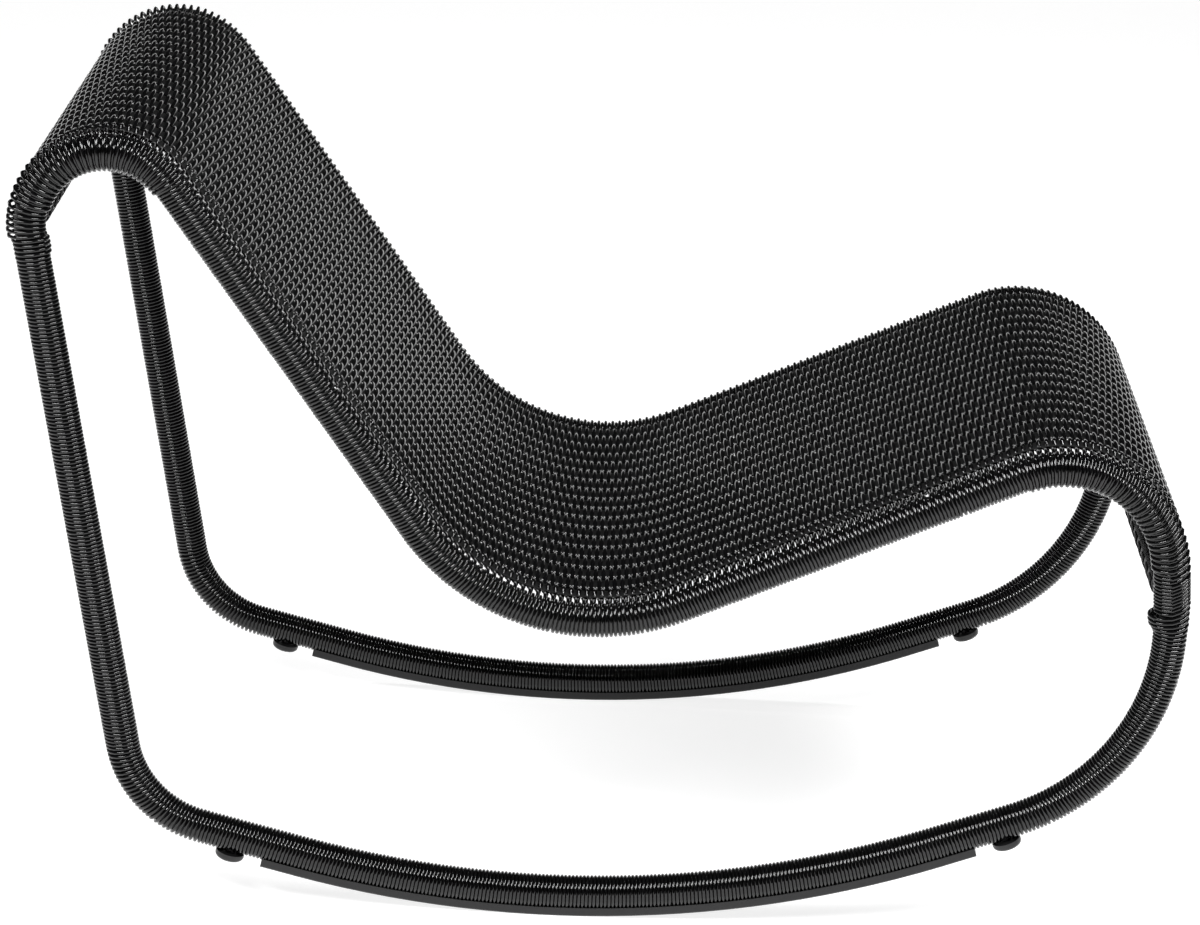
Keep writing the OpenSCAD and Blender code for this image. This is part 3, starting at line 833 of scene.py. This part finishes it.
class FinishSettings(bpy.types.PropertyGroup):
    """Colours and gloss of the chair's materials."""

    cord_dark: bpy.props.FloatVectorProperty(
        name="Cord, dark",
        description="Darker colour of the cord",
        subtype="COLOR",
        default=linear("#060606"),
    )
    cord_light: bpy.props.FloatVectorProperty(
        name="Cord, light",
        description="Lighter colour of the cord",
        subtype="COLOR",
        default=linear("#0d0d0e"),
    )
    cord_rough_low: bpy.props.FloatProperty(
        name="Cord gloss", description="Roughness of the glossiest cord", default=0.08, subtype="FACTOR"
    )
    cord_rough_high: bpy.props.FloatProperty(
        name="Cord wear", description="Roughness of rubbed cord", default=0.15, subtype="FACTOR"
    )
    strip: bpy.props.FloatVectorProperty(
        name="Strip",
        description="Colour of the lengthwise strips",
        subtype="COLOR",
        default=linear("#0d0d0e"),
    )
    frame: bpy.props.FloatVectorProperty(
        name="Frame",
        description="Colour of the powder coat",
        subtype="COLOR",
        default=linear("#1a1a1b"),
    )
    rubber: bpy.props.FloatVectorProperty(
        name="Rubber",
        description="Colour of runners and feet",
        subtype="COLOR",
        default=linear("#111112"),
    )
    rubbed: bpy.props.FloatVectorProperty(
        name="Rubbed rubber",
        description="Colour of rubbed rubber",
        subtype="COLOR",
        default=linear("#1d1d1e"),
    )
    steel: bpy.props.FloatVectorProperty(
        name="Steel",
        description="Colour of screws and sleeves",
        subtype="COLOR",
        default=linear("#b4b5b9"),
    )


class StageSettings(bpy.types.PropertyGroup):
    """Camera, lamps and floor."""

    lens: bpy.props.FloatProperty(
        name="Lens", description="Focal length in mm on a 36 mm sensor", default=120.0, min=20.0, max=300.0
    )
    floor_colour: bpy.props.FloatVectorProperty(
        name="Floor",
        description="Colour of the studio floor",
        subtype="COLOR",
        default=linear("#b4b4b4"),
    )
    floor_glow: bpy.props.FloatProperty(
        name="Floor white",
        description="White that the eye sees on top of the lit floor",
        default=0.85,
        min=0.0,
    )
    backdrop: bpy.props.FloatProperty(
        name="Backdrop height",
        description="Height of the backdrop behind the chair",
        unit="LENGTH",
        default=1.35,
    )
    world: bpy.props.FloatProperty(
        name="Room light", description="Strength of the even light all round", default=0.006, min=0.0
    )
    key: bpy.props.FloatProperty(
        name="Key lamp",
        description="Power of the right softbox",
        subtype="POWER",
        unit="POWER",
        default=150.0,
    )
    fill: bpy.props.FloatProperty(
        name="Fill lamp",
        description="Power of the left softbox",
        subtype="POWER",
        unit="POWER",
        default=130.0,
    )
    top: bpy.props.FloatProperty(
        name="Top lamp",
        description="Power of the overhead softbox",
        subtype="POWER",
        unit="POWER",
        default=25.0,
    )


# Operators


class ROCKER_OT_finishes(bpy.types.Operator):
    """Make the chair's materials and put them on the frame's own pieces"""

    bl_idname = "rocker.finishes"
    bl_label = "Finishes"

    def execute(self, context):
        finish = context.scene.rocker_finish
        extruded_cord("extruded_polyethylene_cord", finish)
        slit_strip("slit_polyethylene_strip", finish)
        frame_coat = powder_coated_steel("powder_coated_steel_tube", finish)
        runner = vulcanised_rubber("pressed_rubber_runner", finish, 0.5)
        foot = vulcanised_rubber("moulded_rubber_foot", finish, 0.38)
        screw = bare_steel("zinc_plated_steel_screw", finish, 0.35, 1.0)
        sleeve = bare_steel("drawn_steel_sleeve", finish, 0.42, 2.0)
        sides = ("left", "right")
        finish_nodes(frame_coat, *[f"{a}_{b}_tube" for a in sides for b in ("upper", "lower")])
        finish_nodes(frame_coat, "rear_crossbar", "front_crossbar")
        finish_nodes(sleeve, *[f"{a}_{b}_joint_sleeve" for a in sides for b in ("rear", "front")])
        finish_nodes(runner, *[f"{a}_runner_strip" for a in sides])
        finish_nodes(foot, *[f"{a}_{b}_stop_foot" for a in sides for b in ("rear", "front")])
        finish_nodes(screw, "stop_foot_screws", "left_strip_screws", "right_strip_screws")
        return {"FINISHED"}


class ROCKER_OT_woven_seat(bpy.types.Operator):
    """Weave the seat from one long cord that also winds round the side tubes, over lengthwise stakes"""

    bl_idname = "rocker.woven_seat"
    bl_label = "Woven seat"

    def execute(self, context):
        weave = context.scene.rocker_weave
        sides = context.scene.rocker_winding.sides
        cord = bpy.data.materials["extruded_polyethylene_cord"]
        rng = np.random.default_rng(WEAVE_SEED)
        c = surface_steps(weave.pitch)
        wobble = rng.normal(0, weave.wobble, len(c) + 1)
        notch = notches(rng, WEAVE_NOTCHES, c[0], c[-1])
        stands_for = ["woven_panel", "left_upper_wrap", "right_upper_wrap"]
        for i, first in enumerate(range(0, len(c) - 1, weave.cords_a_piece)):
            part = c[first : first + weave.cords_a_piece + 1]
            run = woven_run(part, first, weave, wobble, notch)
            nodes = stands_for if i == 0 else ["woven_panel"]
            cord_piece(f"woven_seat_cord_{i + 1}", [run], CORD_R, sides, cord, nodes)
        step = LOOP_SPACING / (weave.stakes + 1)
        stakes = [stake_run(-SIDE_Y + step * (k + 1), weave) for k in range(weave.stakes)]
        strip = bpy.data.materials["slit_polyethylene_strip"]
        cord_piece("seat_stakes", stakes, weave.stake_t / 2, 8, strip, ["woven_panel"])
        return {"FINISHED"}


class ROCKER_OT_windings(bpy.types.Operator):
    """Wind cord round the rear legs, rockers, front rises and crossbars"""

    bl_idname = "rocker.windings"
    bl_label = "Windings"

    def execute(self, context):
        winding = context.scene.rocker_winding
        weave = context.scene.rocker_weave
        cord = bpy.data.materials["extruded_polyethylene_cord"]
        c = surface_steps(weave.pitch)
        (rear_a, rear_b), (front_a, front_b) = lash_places().values()
        count = len(c) - 1
        for side, word, first in ((LEFT, "left", 0), (RIGHT, "right", 1)):
            # The cords of the seat wind round the two tubes by turns, so one side starts a cord later
            last = count - 1 - (count - 1 - first) % 2
            # A turn's room before the seat's first turn on this tube and after its last
            woven_start = c[first] + FIRST_CROWN * (c[1] - c[0]) - winding.pitch
            woven_end = c[last] + LAST_UNDERSIDE * (c[-1] - c[-2]) + winding.pitch
            rng = np.random.default_rng(WINDING_SEED + first)
            notch = notches(rng, WINDING_NOTCHES, front_b + NOTCH_CLEAR, LOOP.length + rear_a - NOTCH_CLEAR)
            stretches = (
                (woven_end, front_a, 0.0),
                (front_b, LOOP.length + rear_a, 0.0),
                (LOOP.length + rear_b, LOOP.length + woven_start, 0.5),
            )
            runs = [tube_winding(a, b, part, side, winding, weave, notch) for a, b, part in stretches]
            cord_piece(f"{word}_tube_winding", runs, CORD_R, winding.sides, cord, [f"{word}_lower_wrap"])
        for bar, word in ((REAR_BAR, "rear"), (LOOP.front_bar, "front")):
            run = bar_winding(bar, winding)
            node = f"{word}_crossbar_wrap"
            cord_piece(f"{word}_crossbar_winding", [run], CORD_R, winding.sides, cord, [node])
        return {"FINISHED"}


class ROCKER_OT_lashings(bpy.types.Operator):
    """Lash the four places where the seat ends on the side tubes"""

    bl_idname = "rocker.lashings"
    bl_label = "Lashings"

    def execute(self, context):
        cord = bpy.data.materials["extruded_polyethylene_cord"]
        weave = context.scene.rocker_weave
        for side, word in ((LEFT, "left"), (RIGHT, "right")):
            for end, (start, _) in lash_places().items():
                runs = [lashing_run(start, side, weave)]
                if end == "front":
                    runs += tucked_ends(start, side)
                node = f"{word}_{end}_lashing"
                cord_piece(f"{node}_cord", runs, CORD_R, 10, cord, [node])
        return {"FINISHED"}


class ROCKER_OT_stage(bpy.types.Operator):
    """Set up the floor, the lamps and the camera"""

    bl_idname = "rocker.stage"
    bl_label = "Stage"

    def execute(self, context):
        scene = context.scene
        stage = scene.rocker_stage
        # The floor's near edge, the cove's arc and the wall's top edge, as one profile
        turn = np.linspace(0, math.pi / 2, 17)
        y = np.concatenate([[-SWEEP_REACH], WALL_Y - COVE_R + COVE_R * np.sin(turn), [WALL_Y]])
        z = np.concatenate([[0.0], COVE_R - COVE_R * np.cos(turn), [stage.backdrop]])
        corners = [(x, float(b), float(c)) for x in (-SWEEP_REACH, SWEEP_REACH) for b, c in zip(y, z)]
        n = len(y)
        mesh = bpy.data.meshes.new("studio_sweep")
        mesh.from_pydata(corners, [], [(i, n + i, n + i + 1, i + 1) for i in range(n - 1)])
        mesh.polygons.foreach_set("use_smooth", np.ones(n - 1, bool))
        mesh.materials.append(painted_sweep("matt_painted_sweep", stage))
        sweep = bpy.data.objects.new("studio_sweep", mesh)
        scene.collection.objects.link(sweep)
        world = bpy.data.worlds.new("studio_room")
        scene.world = world
        world.use_nodes = True
        world.node_tree.nodes.clear()
        room = {"Color": (1, 1, 1, 1), "Strength": stage.world}
        sky = add_node(world.node_tree, "ShaderNodeBackground", room)
        add_node(world.node_tree, "ShaderNodeOutputWorld", {"Surface": sky.outputs[0]})
        for name, size, place in LAMPS:
            softbox(f"{name}_softbox", getattr(stage, name), size, place)
        camera = bpy.data.objects.new("camera", bpy.data.cameras.new("camera"))
        camera.data.lens = stage.lens
        camera.data.sensor_width = 36.0
        camera.data.clip_end = 200.0
        spot, tip, beside = [
            LOOP.lean(np.array(CAMERA_PLACE[0] + x), CAMERA_PLACE[1] + y, np.array(CAMERA_PLACE[2] + z))
            for x, y, z in ((0.0, 0.0, 0.0), CAMERA_AHEAD, CAMERA_RIGHT)
        ]
        ahead = Vector(tip - spot).normalized()
        right = Vector(beside - spot)
        right = (right - right.dot(ahead) * ahead).normalized()
        up = right.cross(ahead)
        turned = Matrix((right, up, -ahead)).transposed().to_4x4()
        camera.matrix_world = Matrix.Translation(Vector(spot)) @ turned
        scene.collection.objects.link(camera)
        scene.camera = camera
        scene.view_settings.view_transform = "Standard"
        return {"FINISHED"}


# Panel


class ROCKER_PT_panel(bpy.types.Panel):
    """Lists what can be made and the sizes it is made from"""

    bl_idname = "ROCKER_PT_panel"
    bl_label = "Rocking chair"
    bl_space_type = "VIEW_3D"
    bl_region_type = "UI"
    bl_category = "Rocking chair"

    def draw(self, context):
        layout = self.layout
        for step in STEPS:
            layout.operator(step.bl_idname)
        for name in SETTINGS:
            group = getattr(context.scene, name)
            box = layout.box()
            for key in group.bl_rna.properties.keys():
                if key not in ("rna_type", "name"):
                    box.prop(group, key)


# Running


STEPS = (
    ROCKER_OT_finishes,
    ROCKER_OT_woven_seat,
    ROCKER_OT_windings,
    ROCKER_OT_lashings,
    ROCKER_OT_stage,
)
SETTINGS = {
    "rocker_weave": WeaveSettings,
    "rocker_winding": WindingSettings,
    "rocker_finish": FinishSettings,
    "rocker_stage": StageSettings,
}


def register():
    for kind in (*SETTINGS.values(), *STEPS, ROCKER_PT_panel):
        bpy.utils.register_class(kind)
    for name, kind in SETTINGS.items():
        setattr(bpy.types.Scene, name, bpy.props.PointerProperty(type=kind))


def unregister():
    for name in SETTINGS:
        delattr(bpy.types.Scene, name)
    for kind in reversed((*SETTINGS.values(), *STEPS, ROCKER_PT_panel)):
        bpy.utils.unregister_class(kind)


def main():
    register()
    bpy.ops.rocker.finishes()
    bpy.ops.rocker.woven_seat()
    bpy.ops.rocker.windings()
    bpy.ops.rocker.lashings()
    bpy.ops.rocker.stage()


if __name__ == "__main__":
    main()
